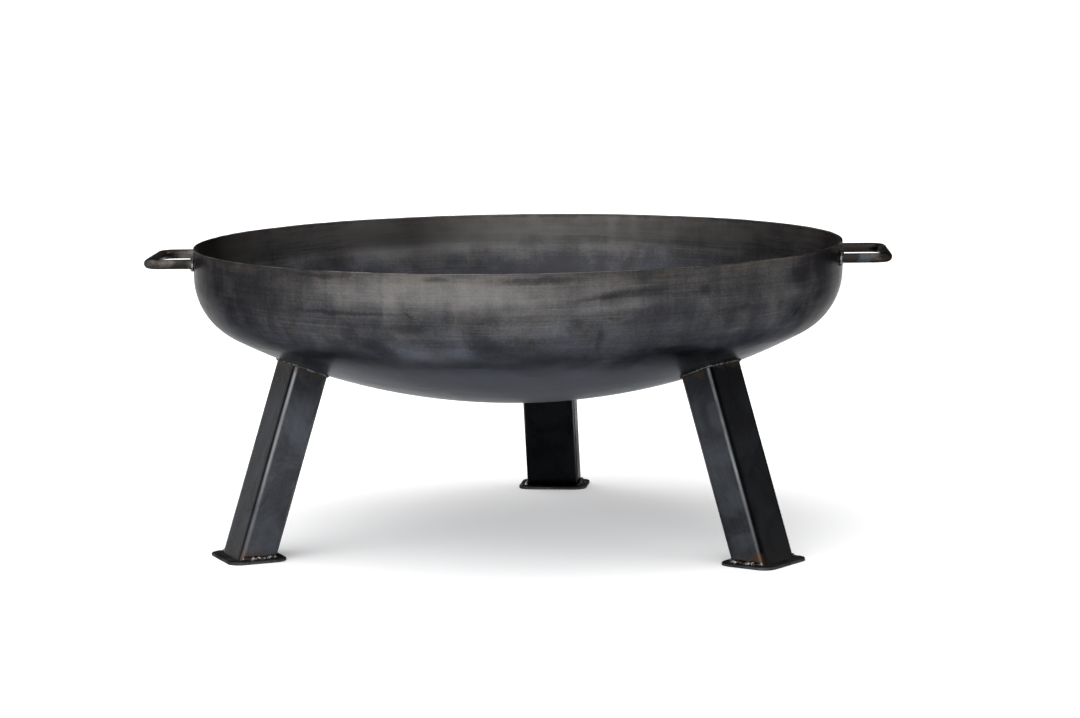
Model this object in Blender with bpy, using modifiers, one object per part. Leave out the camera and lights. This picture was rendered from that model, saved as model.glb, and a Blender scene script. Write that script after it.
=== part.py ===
"""Fire pit with grate: a dished steel bowl welded to three splayed box-section legs, with a lift-out grate.

Metres, +Z up. The origin is on the ground below the centre of the bowl, and the handles lie on +X and -X.
"""

import math

import bmesh
import bpy
from mathutils import Matrix, Vector

# Clearances between neighbouring solids
GAP = 0.0003
GRATE_GAP = 0.0005

# Bowl: a torispherical dished end with a straight flange and a plain cut rim
BOWL_RADIUS = 0.350
BOWL_WALL = 0.003
RIM_HEIGHT = 0.321
FLANGE_HEIGHT = 0.031
KNUCKLE_RADIUS = 0.071
CROWN_RADIUS = 0.672
BOWL_STEPS = 96
KNUCKLE_STEPS = 5
CROWN_STEPS = 9
CUTTER_RISE = 0.08

# Legs: rectangular hollow section, leaning outwards, each on a flat plate
LEG_DEPTH = 0.040
LEG_WIDTH = 0.060
LEG_WALL = 0.003
LEG_CORNER = 0.006
LEG_SPLAY = math.radians(18.0)
LEG_FOOT_RADIUS = 0.3135
LEG_BLANK_START = -0.02
LEG_BLANK_END = 0.25
LEG_TURN = math.radians(-4.6)
LEG_AZIMUTHS = {
    "left": math.radians(210.0) + LEG_TURN,
    "right": math.radians(330.0) + LEG_TURN,
    "back": math.radians(90.0) + LEG_TURN,
}
FOOT_DEPTH = 0.064
FOOT_WIDTH = 0.080
FOOT_CORNER = 0.014
FOOT_THICKNESS = 0.003
CORNER_STEPS = 4

# Handles: round bar bent to a flat U, welded to the flange
HANDLE_BAR = 0.0105
HANDLE_WIDTH = 0.118
HANDLE_REACH = 0.0452
HANDLE_BEND = 0.015
HANDLE_DROP = 0.0166
HANDLE_SIDES = {"right": 0.0, "left": math.pi}

# Weld beads
WELD_RADIUS = 0.0022
HANDLE_WELD_RADIUS = 0.0015
HANDLE_WELD_POINTS = 20
FOOT_WELD_EDGES = {"a": -1, "b": 1}

# Grate: parallel bars on a ring that sits on the curve of the bowl
RING_RADIUS = 0.270
RING_BAR = 0.012
GRATE_BAR = 0.010
GRATE_BAR_COUNT = 13
GRATE_BAR_PITCH = 0.038
CROSS_BAR_OFFSETS = {"front": -0.095, "back": 0.095}
LOOP_BAR = 0.008
LOOP_WIDTH = 0.070
LOOP_HEIGHT = 0.038
LOOP_BEND = 0.014
BEND_STEPS = 6

# Bar roundness: sides of a cylinder, and the bevel resolution that gives a curve 12 sides
BAR_SIDES = 12
BAR_RESOLUTION = 4
BEAD_RESOLUTION = 2

# Derived places
KNUCKLE_CENTRE_RADIUS = BOWL_RADIUS - KNUCKLE_RADIUS
KNUCKLE_CENTRE_Z = RIM_HEIGHT - FLANGE_HEIGHT
CROWN_ANGLE = math.asin(KNUCKLE_CENTRE_RADIUS / (CROWN_RADIUS - KNUCKLE_RADIUS))
CROWN_CENTRE_Z = KNUCKLE_CENTRE_Z + (CROWN_RADIUS - KNUCKLE_RADIUS) * math.cos(CROWN_ANGLE)
HANDLE_Z = RIM_HEIGHT - HANDLE_DROP
RING_REST_RADIUS = CROWN_RADIUS - BOWL_WALL - RING_BAR / 2 - GRATE_GAP
RING_Z = CROWN_CENTRE_Z - math.sqrt(RING_REST_RADIUS**2 - RING_RADIUS**2)
GRATE_BAR_Z = RING_Z + RING_BAR / 2 + GAP + GRATE_BAR / 2
CROSS_BAR_Z = GRATE_BAR_Z - GRATE_BAR - GAP

# Colour, roughness and metallic value of each kind of piece
FINISHES = {
    "bowl_steel": ((0.105, 0.107, 0.112), 0.42, 0.9),
    "leg_steel": ((0.070, 0.074, 0.082), 0.48, 0.9),
    "foot_steel": ((0.110, 0.105, 0.100), 0.50, 0.9),
    "handle_steel": ((0.060, 0.060, 0.062), 0.45, 0.9),
    "weld_metal": ((0.330, 0.310, 0.290), 0.35, 1.0),
    "grate_steel": ((0.045, 0.044, 0.043), 0.60, 0.8),
}


def clear_scene():
    for obj in list(bpy.data.objects):
        bpy.data.objects.remove(obj)


def make_collection(name):
    collection = bpy.data.collections.new(name)
    bpy.context.scene.collection.children.link(collection)
    return collection


def make_material(name):
    colour, roughness, metallic = FINISHES[name]
    material = bpy.data.materials.new(name)
    material.use_nodes = True
    shader = material.node_tree.nodes["Principled BSDF"]
    shader.inputs["Base Color"].default_value = (*colour, 1.0)
    shader.inputs["Roughness"].default_value = roughness
    shader.inputs["Metallic"].default_value = metallic
    return material


def add_object(name, data, collection, material=None):
    obj = bpy.data.objects.new(name, data)
    collection.objects.link(obj)
    if material:
        data.materials.append(material)
    return obj


def bowl_profile(offset):
    """Radius and height along the bowl's outer skin, moved outwards by offset, from the rim to the axis."""
    knuckle = KNUCKLE_RADIUS + offset
    crown = CROWN_RADIUS + offset
    points = [(BOWL_RADIUS + offset, RIM_HEIGHT)]
    for step in range(KNUCKLE_STEPS + 1):
        angle = math.pi / 2 + (CROWN_ANGLE - math.pi / 2) * step / KNUCKLE_STEPS
        radius = KNUCKLE_CENTRE_RADIUS + knuckle * math.sin(angle)
        points.append((radius, KNUCKLE_CENTRE_Z - knuckle * math.cos(angle)))
    for step in range(1, CROWN_STEPS + 1):
        angle = CROWN_ANGLE * (1 - step / CROWN_STEPS)
        points.append((crown * math.sin(angle), CROWN_CENTRE_Z - crown * math.cos(angle)))
    return points


def add_turned(name, profile, collection, material=None):
    """A profile of (radius, height) points turned about Z."""
    mesh = bpy.data.meshes.new(name)
    vertices = [(radius, 0.0, height) for radius, height in profile]
    edges = [(index, index + 1) for index in range(len(profile) - 1)]
    mesh.from_pydata(vertices, edges, [])
    obj = add_object(name, mesh, collection, material)
    screw = obj.modifiers.new("turn", "SCREW")
    screw.steps = BOWL_STEPS
    screw.render_steps = BOWL_STEPS
    screw.use_merge_vertices = True
    screw.merge_threshold = 1e-5
    screw.use_smooth_shade = True
    return obj


def rounded_outline(depth, width, corner):
    """Points round a rectangle with rounded corners, depth along X and width along Y."""
    points = []
    for quarter in range(4):
        start = quarter * math.pi / 2
        centre_x = (depth / 2 - corner) * (1 if quarter in (0, 3) else -1)
        centre_y = (width / 2 - corner) * (1 if quarter in (0, 1) else -1)
        for step in range(CORNER_STEPS + 1):
            angle = start + math.pi / 2 * step / CORNER_STEPS
            points.append((centre_x + corner * math.cos(angle), centre_y + corner * math.sin(angle)))
    return points


def add_spline(curve, points, cyclic):
    spline = curve.splines.new("POLY")
    spline.points.add(len(points) - 1)
    for spline_point, point in zip(spline.points, points):
        spline_point.co = (*Vector(point).to_3d(), 1.0)
    spline.use_cyclic_u = cyclic


def flat_curve(name, outlines, thickness):
    """A flat shape bounded by the first outline, with the others as holes, centred on its own plane."""
    curve = bpy.data.curves.new(name, "CURVE")
    curve.dimensions = "2D"
    curve.fill_mode = "BOTH"
    curve.extrude = thickness / 2
    for outline in outlines:
        add_spline(curve, outline, True)
    return curve


def round_bar(name, points, radius, resolution, cyclic=False):
    curve = bpy.data.curves.new(name, "CURVE")
    curve.dimensions = "3D"
    curve.bevel_depth = radius
    curve.bevel_resolution = resolution
    curve.use_fill_caps = not cyclic
    add_spline(curve, points, cyclic)
    return curve


def curve_to_mesh(obj, collection, material):
    """Replaces a curve object by a mesh of the same shape, so that it can be cut."""
    bpy.context.view_layer.update()
    evaluated = obj.evaluated_get(bpy.context.evaluated_depsgraph_get())
    mesh = bpy.data.meshes.new_from_object(evaluated)
    solid = bmesh.new()
    solid.from_mesh(mesh)
    bmesh.ops.remove_doubles(solid, verts=solid.verts, dist=1e-6)
    bmesh.ops.recalc_face_normals(solid, faces=solid.faces)
    solid.to_mesh(mesh)
    solid.free()
    mesh.materials.clear()
    name = obj.name
    matrix = obj.matrix_world.copy()
    bpy.data.objects.remove(obj)
    piece = add_object(name, mesh, collection, material)
    piece.matrix_world = matrix
    return piece


def cut(obj, cutter):
    boolean = obj.modifiers.new("cut by " + cutter.name, "BOOLEAN")
    boolean.operation = "DIFFERENCE"
    boolean.solver = "EXACT"
    boolean.object = cutter


def hide_cutter(obj):
    obj.hide_render = True
    obj.display_type = "WIRE"


def add_bowl(parts, material):
    inside = list(reversed(bowl_profile(-BOWL_WALL)))
    return add_turned("bowl", inside + bowl_profile(0.0), parts, material)


def add_bowl_clearance(cutters):
    """A solid a gap larger than the bowl's outside, which cuts what meets the bowl."""
    lid_height = RIM_HEIGHT + CUTTER_RISE
    skin = bowl_profile(GAP)[1:]
    profile = [(0.0, lid_height), (BOWL_RADIUS + GAP, lid_height)] + skin
    cutter = add_turned("bowl_clearance", profile, cutters)
    hide_cutter(cutter)
    return cutter


def add_foot_clearance(cutters):
    """A slab a gap higher than the foot plates, which cuts the lower ends of the leg tubes."""
    top = FOOT_THICKNESS + GAP
    depth = 0.1
    mesh = bpy.data.meshes.new("foot_clearance")
    solid = bmesh.new()
    bmesh.ops.create_cube(solid, size=1.0, matrix=Matrix.Diagonal((1.0, 1.0, depth, 1.0)))
    solid.to_mesh(mesh)
    solid.free()
    cutter = add_object("foot_clearance", mesh, cutters)
    cutter.location = (0.0, 0.0, top - depth / 2)
    hide_cutter(cutter)
    return cutter


def leg_matrix(azimuth):
    """The leg's own frame: Z up the leaning tube, X outwards, with its origin on the ground."""
    foot = Vector((LEG_FOOT_RADIUS, 0.0, 0.0))
    turn = Matrix.Rotation(azimuth, 4, "Z")
    return turn @ Matrix.Translation(foot) @ Matrix.Rotation(-LEG_SPLAY, 4, "Y")


def add_leg_tube(side, azimuth, clearances, parts, material):
    outer = rounded_outline(LEG_DEPTH, LEG_WIDTH, LEG_CORNER)
    inner = rounded_outline(LEG_DEPTH - 2 * LEG_WALL, LEG_WIDTH - 2 * LEG_WALL, LEG_CORNER - LEG_WALL)
    blank = flat_curve("leg_tube_" + side, [outer, inner], LEG_BLANK_END - LEG_BLANK_START)
    tube = add_object(blank.name, blank, parts)
    middle = leg_matrix(azimuth) @ Vector((0.0, 0.0, (LEG_BLANK_START + LEG_BLANK_END) / 2))
    tube.location = middle
    tube.rotation_euler = (0.0, -LEG_SPLAY, azimuth)
    tube = curve_to_mesh(tube, parts, material)
    for cutter in clearances:
        cut(tube, cutter)
    return tube


def add_foot_plate(side, azimuth, parts, material):
    outline = rounded_outline(FOOT_DEPTH, FOOT_WIDTH, FOOT_CORNER)
    name = "foot_plate_" + side
    plate = add_object(name, flat_curve(name, [outline], FOOT_THICKNESS), parts, material)
    x = LEG_FOOT_RADIUS * math.cos(azimuth)
    y = LEG_FOOT_RADIUS * math.sin(azimuth)
    plate.location = (x, y, FOOT_THICKNESS / 2)
    plate.rotation_euler = (0.0, 0.0, azimuth)
    return plate


def leg_direction(azimuth):
    return (leg_matrix(azimuth).to_3x3() @ Vector((0.0, 0.0, 1.0))).normalized()


def foot_weld_path(azimuth, edge):
    """Along one narrow side of the tube, just above the foot plate."""
    away = WELD_RADIUS + GAP
    height = FOOT_THICKNESS + away
    direction = leg_direction(azimuth)
    path = []
    for end in (-1, 1):
        corner = Vector((end * (LEG_DEPTH / 2 - LEG_CORNER), edge * (LEG_WIDTH / 2 + away), 0.0))
        start = leg_matrix(azimuth) @ corner
        path.append(start + direction * (height - start.z) / direction.z)
    return path


def leg_weld_path(azimuth):
    """Round the tube, just outside it, where it meets the sphere of the bowl's crown."""
    away = WELD_RADIUS + GAP
    outline = rounded_outline(LEG_DEPTH + 2 * away, LEG_WIDTH + 2 * away, LEG_CORNER + away)
    starts = [leg_matrix(azimuth) @ Vector((x, y, 0.0)) for x, y in outline]
    direction = leg_direction(azimuth)
    centre = Vector((0.0, 0.0, CROWN_CENTRE_Z))
    radius = CROWN_RADIUS + GAP + WELD_RADIUS
    path = []
    for start in starts:
        offset = start - centre
        along = offset.dot(direction)
        reach = -along - math.sqrt(along**2 - offset.length_squared + radius**2)
        path.append(start + direction * reach)
    return path


def add_weld(name, path, radius, parts, material, cyclic=True):
    return add_object(name, round_bar(name, path, radius, BEAD_RESOLUTION, cyclic), parts, material)


def bend_points(centre, start_angle, end_angle, radius):
    """An arc in the XY plane."""
    points = []
    for step in range(BEND_STEPS + 1):
        angle = start_angle + (end_angle - start_angle) * step / BEND_STEPS
        points.append((centre[0] + radius * math.cos(angle), centre[1] + radius * math.sin(angle)))
    return points


def u_shape(reach, width, bend, start):
    """A flat U that opens towards -X: legs from start to reach, with a rounded corner at each side."""
    corner_x = reach - bend
    corner_y = width / 2 - bend
    points = [(start, -width / 2)]
    points += bend_points((corner_x, -corner_y), -math.pi / 2, 0.0, bend)
    points += bend_points((corner_x, corner_y), 0.0, math.pi / 2, bend)
    points.append((start, width / 2))
    return points


def add_handle(side, turn, clearance, parts, material):
    name = "handle_" + side
    path = u_shape(BOWL_RADIUS + HANDLE_REACH, HANDLE_WIDTH, HANDLE_BEND, BOWL_RADIUS - 2 * HANDLE_BAR)
    handle = add_object(name, round_bar(name, path, HANDLE_BAR / 2, BAR_RESOLUTION), parts)
    handle.location = (0.0, 0.0, HANDLE_Z)
    handle.rotation_euler = (0.0, 0.0, turn)
    handle = curve_to_mesh(handle, parts, material)
    cut(handle, clearance)
    return handle


def handle_weld_path(y_centre):
    """Round a bar end, on the upright cylinder of the flange."""
    ring = HANDLE_BAR / 2 + GAP + HANDLE_WELD_RADIUS
    wall = BOWL_RADIUS + GAP + HANDLE_WELD_RADIUS
    path = []
    for index in range(HANDLE_WELD_POINTS):
        angle = 2 * math.pi * index / HANDLE_WELD_POINTS
        y = y_centre + ring * math.cos(angle)
        path.append((math.sqrt(wall**2 - y**2), y, ring * math.sin(angle)))
    return path


def add_handle_welds(side, turn, parts, material):
    for end, sign in (("front", -1), ("back", 1)):
        path = handle_weld_path(sign * math.cos(turn) * HANDLE_WIDTH / 2)
        weld = add_weld(f"handle_weld_{side}_{end}", path, HANDLE_WELD_RADIUS, parts, material)
        weld.location = (0.0, 0.0, HANDLE_Z)
        weld.rotation_euler = (0.0, 0.0, turn)


def add_straight_bar(name, length, parts, material):
    """A round bar along its own X, centred on its origin."""
    mesh = bpy.data.meshes.new(name)
    solid = bmesh.new()
    bmesh.ops.create_cone(
        solid,
        cap_ends=True,
        segments=BAR_SIDES,
        radius1=GRATE_BAR / 2,
        radius2=GRATE_BAR / 2,
        depth=length,
        matrix=Matrix.Rotation(math.pi / 2, 4, "Y"),
    )
    solid.to_mesh(mesh)
    solid.free()
    return add_object(name, mesh, parts, material)


def add_grate_ring(parts, material):
    """A closed round bar, with a point at each step of the bowl so that it sits evenly on the curve."""
    path = []
    for step in range(BOWL_STEPS):
        angle = 2 * math.pi * step / BOWL_STEPS
        path.append((RING_RADIUS * math.cos(angle), RING_RADIUS * math.sin(angle), 0.0))
    ring = round_bar("grate_ring", path, RING_BAR / 2, BEAD_RESOLUTION, cyclic=True)
    return add_object(ring.name, ring, parts, material)


def add_grate(parts, material):
    """The grate's pieces, parented to one empty on the axis that they lift along."""
    lift = bpy.data.objects.new("grate_lift", None)
    parts.objects.link(lift)
    lift.location = (0.0, 0.0, RING_Z)
    pieces = [add_grate_ring(parts, material)]
    for index in range(GRATE_BAR_COUNT):
        x = (index - (GRATE_BAR_COUNT - 1) / 2) * GRATE_BAR_PITCH
        length = 2 * math.sqrt(RING_RADIUS**2 - x**2)
        bar = add_straight_bar(f"grate_bar_{index + 1:02d}", length, parts, material)
        bar.location = (x, 0.0, GRATE_BAR_Z - RING_Z)
        bar.rotation_euler = (0.0, 0.0, math.pi / 2)
        pieces.append(bar)
    for end, y in CROSS_BAR_OFFSETS.items():
        far_edge = abs(y) + GRATE_BAR / 2
        length = 2 * (math.sqrt((RING_RADIUS - RING_BAR / 2) ** 2 - far_edge**2) - GAP)
        bar = add_straight_bar("grate_cross_bar_" + end, length, parts, material)
        bar.location = (0.0, y, CROSS_BAR_Z - RING_Z)
        pieces.append(bar)
    for side, turn in HANDLE_SIDES.items():
        pieces.append(add_grate_loop(side, turn, parts, material))
    for piece in pieces:
        piece.parent = lift


def add_grate_loop(side, turn, parts, material):
    """An upright loop standing on the ring: the flat U turned so that it opens downwards."""
    name = "grate_loop_" + side
    path = [(0.0, y, x) for x, y in u_shape(LOOP_HEIGHT, LOOP_WIDTH, LOOP_BEND, 0.0)]
    loop = add_object(name, round_bar(name, path, LOOP_BAR / 2, BAR_RESOLUTION), parts, material)
    distance = math.sqrt(RING_RADIUS**2 - (LOOP_WIDTH / 2) ** 2)
    loop.location = (distance * math.cos(turn), 0.0, RING_BAR / 2 + GAP)
    loop.rotation_euler = (0.0, 0.0, turn)
    return loop


def main():
    clear_scene()
    parts = make_collection("fire_pit_with_grate")
    cutters = make_collection("cutters")
    steel = {name: make_material(name) for name in FINISHES}
    bowl_clearance = add_bowl_clearance(cutters)
    foot_clearance = add_foot_clearance(cutters)
    add_bowl(parts, steel["bowl_steel"])
    for side, azimuth in LEG_AZIMUTHS.items():
        add_leg_tube(side, azimuth, (bowl_clearance, foot_clearance), parts, steel["leg_steel"])
        add_foot_plate(side, azimuth, parts, steel["foot_steel"])
        add_weld("leg_weld_" + side, leg_weld_path(azimuth), WELD_RADIUS, parts, steel["weld_metal"])
        for label, edge in FOOT_WELD_EDGES.items():
            path = foot_weld_path(azimuth, edge)
            name = f"foot_weld_{side}_{label}"
            add_weld(name, path, WELD_RADIUS, parts, steel["weld_metal"], cyclic=False)
    for side, turn in HANDLE_SIDES.items():
        add_handle(side, turn, bowl_clearance, parts, steel["handle_steel"])
        add_handle_welds(side, turn, parts, steel["weld_metal"])
    add_grate(parts, steel["grate_steel"])


main()
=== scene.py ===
"""Fire pit with grate: its looks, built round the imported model. Metres, +Z up, handles on +X and -X."""

import math
import random

import bpy
from mathutils import Matrix, Vector, noise


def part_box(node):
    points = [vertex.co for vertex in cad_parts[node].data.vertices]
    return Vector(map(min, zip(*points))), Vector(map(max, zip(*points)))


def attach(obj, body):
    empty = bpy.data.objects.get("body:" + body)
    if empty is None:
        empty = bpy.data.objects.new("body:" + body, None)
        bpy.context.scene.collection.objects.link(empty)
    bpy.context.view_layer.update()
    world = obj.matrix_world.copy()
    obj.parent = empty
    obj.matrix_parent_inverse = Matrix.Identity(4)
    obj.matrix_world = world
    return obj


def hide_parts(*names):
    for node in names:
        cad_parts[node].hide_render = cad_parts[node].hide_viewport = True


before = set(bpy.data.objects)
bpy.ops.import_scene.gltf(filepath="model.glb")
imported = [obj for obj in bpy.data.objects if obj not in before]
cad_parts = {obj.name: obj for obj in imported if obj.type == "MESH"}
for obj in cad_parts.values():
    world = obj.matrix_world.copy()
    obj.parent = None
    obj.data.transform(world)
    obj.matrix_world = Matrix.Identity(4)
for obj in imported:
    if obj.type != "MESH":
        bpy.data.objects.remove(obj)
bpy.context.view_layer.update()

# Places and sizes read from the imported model
BOWL_LOW, BOWL_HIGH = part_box("bowl")
BOWL_RADIUS = BOWL_HIGH.x
RIM_HEIGHT = BOWL_HIGH.z
FOOT_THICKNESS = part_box("foot_plate_left")[1].z
FOOT_MIDDLE = (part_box("foot_plate_left")[0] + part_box("foot_plate_left")[1]) / 2
LEG_FOOT_RADIUS = math.hypot(FOOT_MIDDLE.x, FOOT_MIDDLE.y)
HANDLE_LOW, HANDLE_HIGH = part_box("handle_right")
HANDLE_BAR = HANDLE_HIGH.z - HANDLE_LOW.z
HANDLE_Z = (HANDLE_HIGH.z + HANDLE_LOW.z) / 2
HANDLE_WIDTH = HANDLE_HIGH.y - HANDLE_LOW.y - HANDLE_BAR
RING_LOW, RING_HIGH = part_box("grate_ring")
RING_BAR = RING_HIGH.z - RING_LOW.z
RING_RADIUS = RING_HIGH.x - RING_BAR / 2
RING_Z = (RING_HIGH.z + RING_LOW.z) / 2
LOOP_LOW, LOOP_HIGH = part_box("grate_loop_right")
LOOP_BAR = LOOP_HIGH.x - LOOP_LOW.x
LOOP_WIDTH = LOOP_HIGH.y - LOOP_LOW.y - LOOP_BAR

# Sizes that repeat the CAD design
BOWL_WALL = 0.003
FLANGE_HEIGHT = 0.031
KNUCKLE_RADIUS = 0.071
CROWN_RADIUS = 0.672
LEG_DEPTH = 0.040
LEG_WIDTH = 0.060
LEG_WALL = 0.003
LEG_CORNER = 0.006
LEG_SPLAY = math.radians(18.0)
FOOT_DEPTH = 0.064
FOOT_WIDTH = 0.080
FOOT_CORNER = 0.014
HANDLE_BEND = 0.015
LOOP_BEND = 0.014
KNUCKLE_CENTRE_RADIUS = BOWL_RADIUS - KNUCKLE_RADIUS
KNUCKLE_CENTRE_Z = RIM_HEIGHT - FLANGE_HEIGHT
CROWN_ANGLE = math.asin(KNUCKLE_CENTRE_RADIUS / (CROWN_RADIUS - KNUCKLE_RADIUS))
CROWN_CENTRE_Z = KNUCKLE_CENTRE_Z + (CROWN_RADIUS - KNUCKLE_RADIUS) * math.cos(CROWN_ANGLE)
SIDES = ("left", "right", "back")
CROSS_BARS = ("grate_cross_bar_front", "grate_cross_bar_back")

# Fineness of the meshes
BOWL_STEPS = 288
CROWN_STEPS = 30
KNUCKLE_STEPS = 16
FLANGE_STEPS = 6
LIP_STEPS = 3
LEG_RINGS = 24
LEG_INNER_RINGS = 4
FACE_STEPS = 8
PLATE_CORNER_STEPS = 10
PLATE_SIDE_STEPS = 6
BEAD_STEPS = 6
BEAD_SIDES = 14
BLOB_RINGS = 7
BLOB_SIDES = 10
BEND_STEPS = 16
BEND_SPACING = 0.0016
ROD_SPACING = 0.004
HANDLE_SIDES = 28
ROD_SIDES = 20
RING_STEPS = 240
HANDLE_BEAD_STEPS = 40

# Small sizes and unevenness that the CAD leaves out
LIP = 0.0006
WAVINESS = 0.0005
RIM_NICK = 0.00025
LEG_HOLLOW = 0.00025
PLATE_EASE = 0.0005
PLATE_TOP_INSET = 0.004
HANDLE_DENT = 0.012
ROD_LUMP = 0.010
TACK_RADIUS = 0.0036
TACK_INSET = 0.006
LOOP_TACK_RADIUS = 0.0062

# Weld beads: how far the path is off the metal, the bead's radius, the pitch of its ripples, its raggedness
LEG_BEAD = (0.0003, 0.0019, 0.0024, 0.18)
FOOT_BEAD = (0.0011, 0.0027, 0.0052, 0.22)
HANDLE_BEAD = (0.0006, 0.0023, 0.0030, 0.25)
HANDLE_BEAD_GAP = 0.0008
RIPPLE_LAG = 0.7
RIPPLE_DIP = 0.16
SPATTER_COUNT = 6
SPATTER_RADII = (0.0004, 0.0011)
SPATTER_REACH = (0.003, 0.008)

# Camera
CAMERA_DISTANCE = 3.505
CAMERA_HEIGHT = 0.643
CAMERA_AZIMUTH = math.radians(2.6)
CAMERA_YAW = math.radians(0.36)
CAMERA_PITCH = math.radians(7.34)
CAMERA_ROLL = math.radians(-0.76)
CAMERA_LENS = 108.4
CAMERA_SENSOR = 36.0
CAMERA_CLIP = 200.0


# ---------------------------------------------------------------- meshes

def box_middle(node):
    """The middle of a CAD node's box."""
    low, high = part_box(node)
    return (low + high) / 2


def new_piece(name, vertices, faces, matrix=Matrix(), sharp_angle=40.0):
    """A smooth-shaded mesh object, moved by matrix, with creases over sharp_angle degrees."""
    mesh = bpy.data.meshes.new(name)
    mesh.from_pydata([tuple(vertex) for vertex in vertices], [], faces)
    mesh.transform(matrix)
    mesh.update()
    mesh.shade_smooth()
    mesh.set_sharp_from_angle(angle=math.radians(sharp_angle))
    piece = bpy.data.objects.new(name, mesh)
    bpy.context.scene.collection.objects.link(piece)
    return piece


def finish_piece(piece, body, nodes, materials):
    """Gives a piece its materials and its place in the frame."""
    for material in materials:
        piece.data.materials.append(material)
    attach(piece, body)
    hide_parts(*nodes)


def ring_faces(ring_count, ring_size, first=0, closed=False):
    """Quads between rings of ring_size points each, one ring after the other."""
    faces = []
    last = ring_count if closed else ring_count - 1
    for ring in range(last):
        here = first + ring * ring_size
        there = first + (ring + 1) % ring_count * ring_size
        for index in range(ring_size):
            after = (index + 1) % ring_size
            faces.append((here + index, here + after, there + after, there + index))
    return faces


def arc(centre, radius, start, end, steps):
    """Points on an arc in a plane, both ends included."""
    points = []
    for step in range(steps + 1):
        angle = start + (end - start) * step / steps
        points.append((centre[0] + radius * math.cos(angle), centre[1] + radius * math.sin(angle)))
    return points


def rounded_outline(depth, width, corner, corner_steps=8, side_steps=1):
    """Points round a rectangle with rounded corners, depth along X and width along Y."""
    points = []
    for quarter in range(4):
        centre_x = (depth / 2 - corner) * (1 if quarter in (0, 3) else -1)
        centre_y = (width / 2 - corner) * (1 if quarter in (0, 1) else -1)
        start = quarter * math.pi / 2
        points += arc((centre_x, centre_y), corner, start, start + math.pi / 2, corner_steps)
    outline = []
    for index, point in enumerate(points):
        after = points[(index + 1) % len(points)]
        steps = side_steps if index % (corner_steps + 1) == corner_steps else 1
        for step in range(steps):
            share = step / steps
            outline.append(tuple(a + (b - a) * share for a, b in zip(point, after)))
    return outline


def resample(points, spacing, closed):
    """Evenly spaced points along a polyline."""
    points = [Vector(point).to_3d() for point in points]
    if closed:
        points.append(points[0])
    lengths = [0.0]
    for a, b in zip(points, points[1:]):
        lengths.append(lengths[-1] + (b - a).length)
    count = max(2, round(lengths[-1] / spacing))
    samples = []
    segment = 0
    for index in range(count if closed else count + 1):
        target = lengths[-1] * index / count
        while segment < len(points) - 2 and lengths[segment + 1] < target:
            segment += 1
        span = lengths[segment + 1] - lengths[segment]
        samples.append(points[segment].lerp(points[segment + 1], (target - lengths[segment]) / span))
    return samples


def sweep(points, up, sides, radius, closed):
    """A bar along points, with its section's top towards up and its radius a function of (index, angle)."""
    vertices = []
    count = len(points)
    for index, point in enumerate(points):
        before = points[index - 1] if closed or index else point
        after = points[(index + 1) % count] if closed or index < count - 1 else point
        tangent = (after - before).normalized()
        side = tangent.cross(up).normalized()
        top = side.cross(tangent)
        for step in range(sides):
            angle = 2 * math.pi * step / sides
            reach = radius(index, angle)
            vertices.append(point + reach * (math.cos(angle) * top + math.sin(angle) * side))
    faces = ring_faces(count, sides, closed=closed)
    if not closed:
        faces.append(tuple(range(sides)))
        faces.append(tuple(reversed(range((count - 1) * sides, count * sides))))
    faces = [tuple(reversed(face)) for face in faces]
    return vertices, faces


def join(parts):
    """Several (vertices, faces) as one."""
    vertices = []
    faces = []
    for part_vertices, part_faces in parts:
        start = len(vertices)
        vertices += part_vertices
        faces += [tuple(start + index for index in face) for face in part_faces]
    return vertices, faces


def blob(centre, radius, flatten, normal, seed):
    """A small lumpy drop of metal lying on a surface with that normal."""
    turn = normal.to_track_quat("Z", "Y").to_matrix()
    vertices = [centre + turn @ Vector((0, 0, radius * flatten))]
    for ring in range(1, BLOB_RINGS):
        tilt = math.pi * ring / BLOB_RINGS
        for side in range(BLOB_SIDES):
            angle = 2 * math.pi * side / BLOB_SIDES
            across = math.sin(tilt)
            local = Vector((across * math.cos(angle), across * math.sin(angle), math.cos(tilt)))
            lump = 1 + 0.25 * noise.noise(local * 1.7 + Vector((seed, 0.0, 0.0)))
            local.z *= flatten
            vertices.append(centre + turn @ (local * radius * lump))
    vertices.append(centre - turn @ Vector((0, 0, radius * flatten)))
    faces = [(0, 1 + side, 1 + (side + 1) % BLOB_SIDES) for side in range(BLOB_SIDES)]
    faces += [tuple(reversed(face)) for face in ring_faces(BLOB_RINGS - 1, BLOB_SIDES, first=1)]
    last = len(vertices) - 1
    base = last - BLOB_SIDES
    faces += [(last, base + (side + 1) % BLOB_SIDES, base + side) for side in range(BLOB_SIDES)]
    return vertices, faces


# ---------------------------------------------------------------- frame of a leg

def azimuth_of(side):
    middle = box_middle("foot_plate_" + side)
    return math.atan2(middle.y, middle.x)


def leg_matrix(azimuth):
    """The leg's own frame: Z up the leaning tube, X outwards, with its origin on the ground."""
    foot = Vector((LEG_FOOT_RADIUS, 0.0, 0.0))
    turn = Matrix.Rotation(azimuth, 4, "Z")
    return turn @ Matrix.Translation(foot) @ Matrix.Rotation(-LEG_SPLAY, 4, "Y")


LEG_AXIS_FRAME = leg_matrix(0.0)


def along_leg_to_plane(x, y, height):
    """How far up the leg from (x, y) in its own frame to a level plane."""
    start = LEG_AXIS_FRAME @ Vector((x, y, 0.0))
    return (height - start.z) / math.cos(LEG_SPLAY)


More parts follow.
